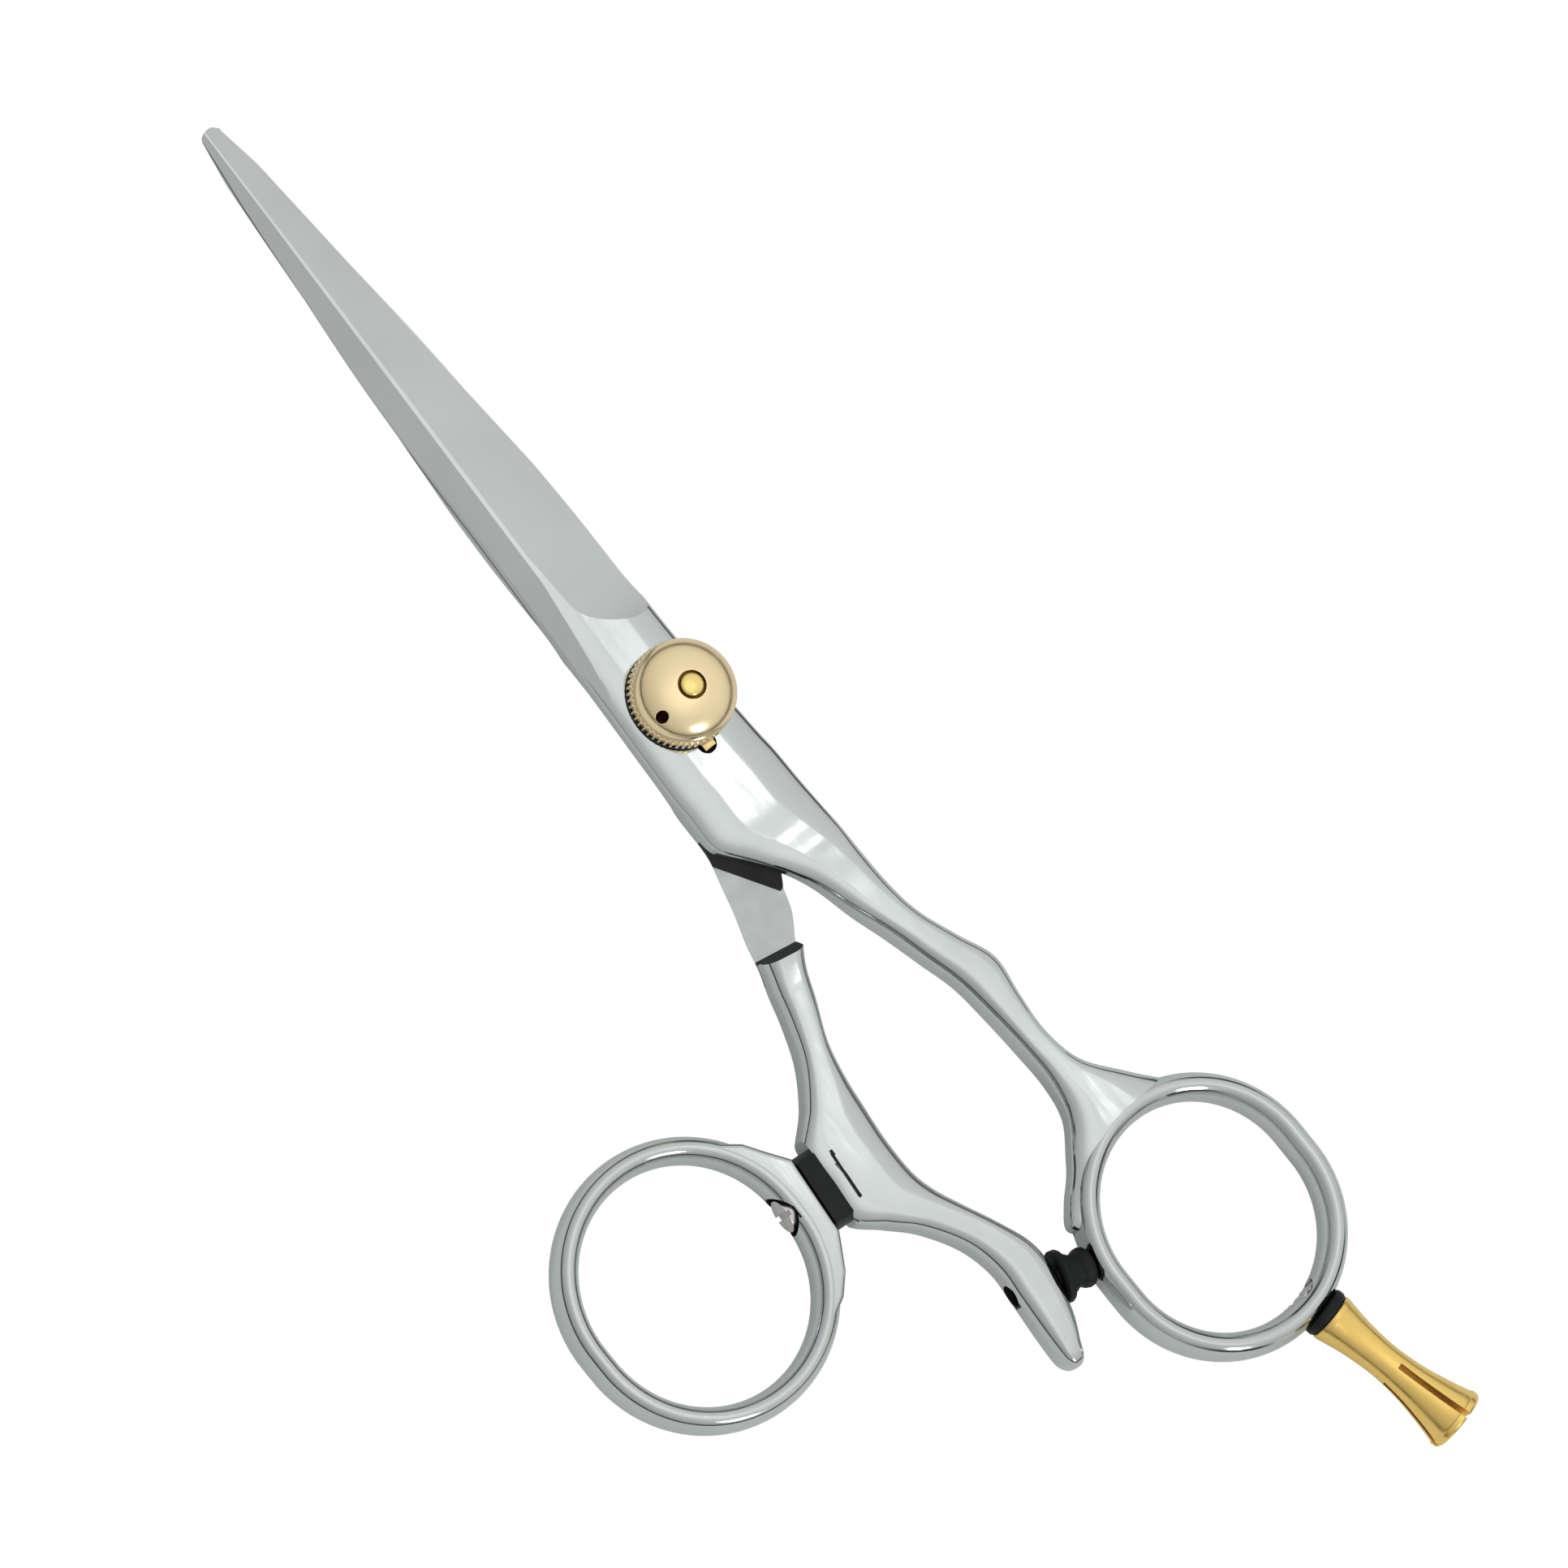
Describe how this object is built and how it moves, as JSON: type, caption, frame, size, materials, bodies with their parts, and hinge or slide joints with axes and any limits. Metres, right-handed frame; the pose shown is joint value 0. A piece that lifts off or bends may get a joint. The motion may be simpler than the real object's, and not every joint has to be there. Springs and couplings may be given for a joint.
{
  "type": "hair cutting shears",
  "caption": "Closed hair cutting shears with hollow-ground blades, a swivelling thumb ring, a click tension dial, a rubber bumper and a finger rest.",
  "frame": {"origin": "on the pivot axis, at the flat outer face of the pivot screw, the lowest face of the closed shears", "axes": "+X to the blade tips, +Y to the thumb side, +Z out of the tension dial"},
  "size_m": [0.1699, 0.0706, 0.0114],
  "materials": {
    "polished_steel": "mirror-polished stainless steel",
    "satin_steel": "satin",
    "spring_steel": "plain",
    "bronze": "plain sintered bronze",
    "nylon": "satin black nylon",
    "rubber": "matt black",
    "gold_plate": "plated",
    "champagne_gold": "polished champagne gold plate",
    "yellow_gold": "satin gold plate"
  },
  "bodies": {
    "finger_side": {"finger_blade": "polished_steel", "pivot_screw": "satin_steel", "back_washer": "nylon", "detent_plate": "gold_plate", "spring_washer": "spring_steel", "dial_washer": "nylon", "finger_rest_screw": "satin_steel", "finger_rest_washer": "rubber", "finger_rest": "yellow_gold"},
    "thumb_side": {"thumb_blade": "polished_steel", "pivot_bush": "bronze", "swivel_screw": "satin_steel", "swivel_washer": "nylon", "bumper": "rubber"},
    "thumb_ring_body": {"thumb_ring": "polished_steel", "swivel_bush": "nylon"},
    "dial": {"tension_dial": "champagne_gold", "dial_pin": "champagne_gold", "click_ball": "spring_steel", "click_spring": "spring_steel"}
  },
  "joints": [
    {"name": "blade_pivot", "type": "hinge", "parent": "finger_side", "child": "thumb_side", "pos_m": [0, 0, 0.00362], "axis": [0, 0, -1], "range_deg": [0, 75]},
    {"name": "thumb_swivel", "type": "hinge", "parent": "thumb_side", "child": "thumb_ring_body", "pos_m": [-0.0445, 0.0182, 0.00362], "axis": [0.0941, 0.9956, 0], "continuous": true},
    {"name": "dial_turn", "type": "hinge", "parent": "finger_side", "child": "dial", "pos_m": [0, 0, 0.008], "axis": [0, 0, 1], "range_deg": [-180, 180]}
  ]
}
